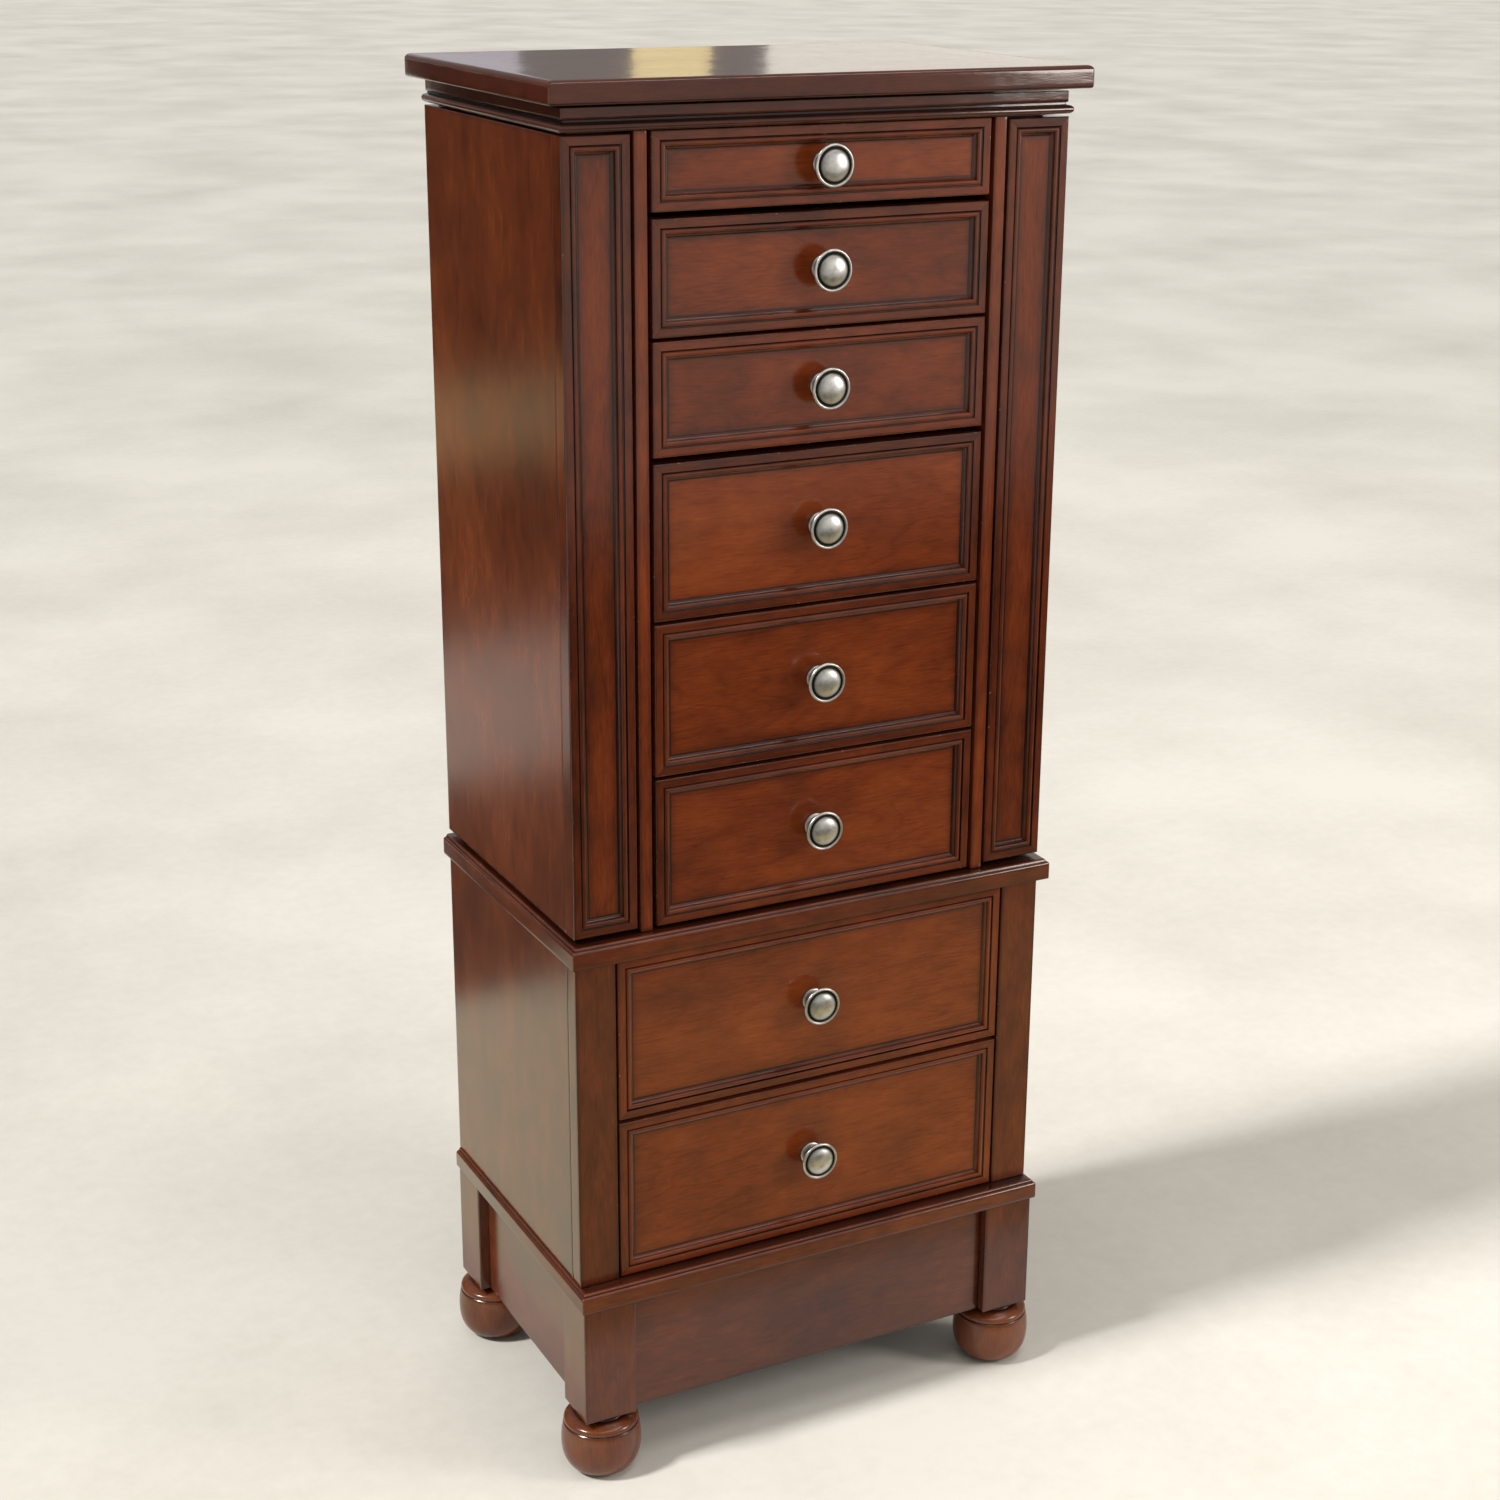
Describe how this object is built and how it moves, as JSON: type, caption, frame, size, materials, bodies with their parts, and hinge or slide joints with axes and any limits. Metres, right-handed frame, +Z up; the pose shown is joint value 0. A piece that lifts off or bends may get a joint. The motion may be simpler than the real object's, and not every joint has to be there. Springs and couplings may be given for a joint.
{
  "type": "jewelry armoire",
  "caption": "Free-standing jewelry armoire in dark stained wood with a mirrored lift-up lid, swing-out side doors, sliding drawers, round metal knobs and bun feet.",
  "frame": {"origin": "on the floor, midway between the four feet, which is also the centre of the bounding box's bottom face", "axes": "+Z is up, -Y is the front with the drawers, +X is on the right of someone facing the front"},
  "size_m": [0.406, 0.273, 1.0164],
  "materials": {
    "cherry_case": "dark red-brown cherry stain, semi-gloss lacquer, darker glaze in grooves and worn edges",
    "cherry_front": "red-brown figured cherry stain, semi-gloss lacquer, darker glaze in grooves",
    "drawer_wood": "plain stained wood, satin",
    "pewter": "antique pewter with dark recesses",
    "brass": "satin, slightly aged",
    "mirror": "silvered flat glass",
    "velvet": "dark wine velvet pile"
  },
  "bodies": {
    "case": {"foot_front_left": "cherry_case", "foot_front_right": "cherry_case", "foot_rear_left": "cherry_case", "foot_rear_right": "cherry_case", "plinth": "cherry_case", "base_moulding": "cherry_case", "lower_side_left": "cherry_case", "lower_side_right": "cherry_case", "lower_face_frame": "cherry_case", "lower_back": "cherry_case", "waist_moulding": "cherry_case", "divider_left": "cherry_case", "divider_right": "cherry_case", "stile_left": "cherry_case", "stile_right": "cherry_case", "upper_back": "cherry_case", "top_deck": "cherry_case", "top_moulding": "cherry_case", "compartment_floor": "drawer_wood", "ring_roll_pad": "velvet", "compartment_front": "cherry_front", "compartment_knob": "pewter", "left_hinge_fixed_leaf": "brass", "right_hinge_fixed_leaf": "brass", "lid_hinge_fixed_leaf": "brass"},
    "lid": {"lid_slab": "cherry_case", "lid_mirror_frame": "cherry_case", "lid_mirror": "mirror", "lid_hinge_lid_leaf": "brass"},
    "door_left": {"left_door_panel": "cherry_case", "left_door_pilaster": "cherry_front", "left_catch_tray": "drawer_wood", "left_hook_strip": "brass", "left_hinge_door_leaf": "brass"},
    "door_right": {"right_door_panel": "cherry_case", "right_door_pilaster": "cherry_front", "right_catch_tray": "drawer_wood", "right_hook_strip": "brass", "right_hinge_door_leaf": "brass"},
    "drawer_2": {"drawer_2_front": "cherry_front", "drawer_2_knob": "pewter", "drawer_2_box": "drawer_wood"},
    "drawer_3": {"drawer_3_front": "cherry_front", "drawer_3_knob": "pewter", "drawer_3_box": "drawer_wood"},
    "drawer_4": {"drawer_4_front": "cherry_front", "drawer_4_knob": "pewter", "drawer_4_box": "drawer_wood"},
    "drawer_5": {"drawer_5_front": "cherry_front", "drawer_5_knob": "pewter", "drawer_5_box": "drawer_wood"},
    "drawer_6": {"drawer_6_front": "cherry_front", "drawer_6_knob": "pewter", "drawer_6_box": "drawer_wood"},
    "drawer_7": {"drawer_7_front": "cherry_front", "drawer_7_knob": "pewter", "drawer_7_box": "drawer_wood"},
    "drawer_8": {"drawer_8_front": "cherry_front", "drawer_8_knob": "pewter", "drawer_8_box": "drawer_wood"}
  },
  "joints": [
    {"name": "lid_hinge", "type": "hinge", "parent": "case", "child": "lid", "pos_m": [0, 0.1296, 0.9983], "axis": [-1, 0, 0], "range_deg": [0, 95]},
    {"name": "left_door_hinge", "type": "hinge", "parent": "case", "child": "door_left", "pos_m": [-0.186, 0.1296, 0.7079], "axis": [0, 0, -1], "range_deg": [0, 100]},
    {"name": "right_door_hinge", "type": "hinge", "parent": "case", "child": "door_right", "pos_m": [0.186, 0.1296, 0.7079], "axis": [0, 0, 1], "range_deg": [0, 100]},
    {"name": "drawer_2_slide", "type": "slide", "parent": "case", "child": "drawer_2", "axis": [0, -1, 0], "range_m": [0, 0.15]},
    {"name": "drawer_3_slide", "type": "slide", "parent": "case", "child": "drawer_3", "axis": [0, -1, 0], "range_m": [0, 0.15]},
    {"name": "drawer_4_slide", "type": "slide", "parent": "case", "child": "drawer_4", "axis": [0, -1, 0], "range_m": [0, 0.15]},
    {"name": "drawer_5_slide", "type": "slide", "parent": "case", "child": "drawer_5", "axis": [0, -1, 0], "range_m": [0, 0.15]},
    {"name": "drawer_6_slide", "type": "slide", "parent": "case", "child": "drawer_6", "axis": [0, -1, 0], "range_m": [0, 0.15]},
    {"name": "drawer_7_slide", "type": "slide", "parent": "case", "child": "drawer_7", "axis": [0, -1, 0], "range_m": [0, 0.165]},
    {"name": "drawer_8_slide", "type": "slide", "parent": "case", "child": "drawer_8", "axis": [0, -1, 0], "range_m": [0, 0.165]}
  ]
}
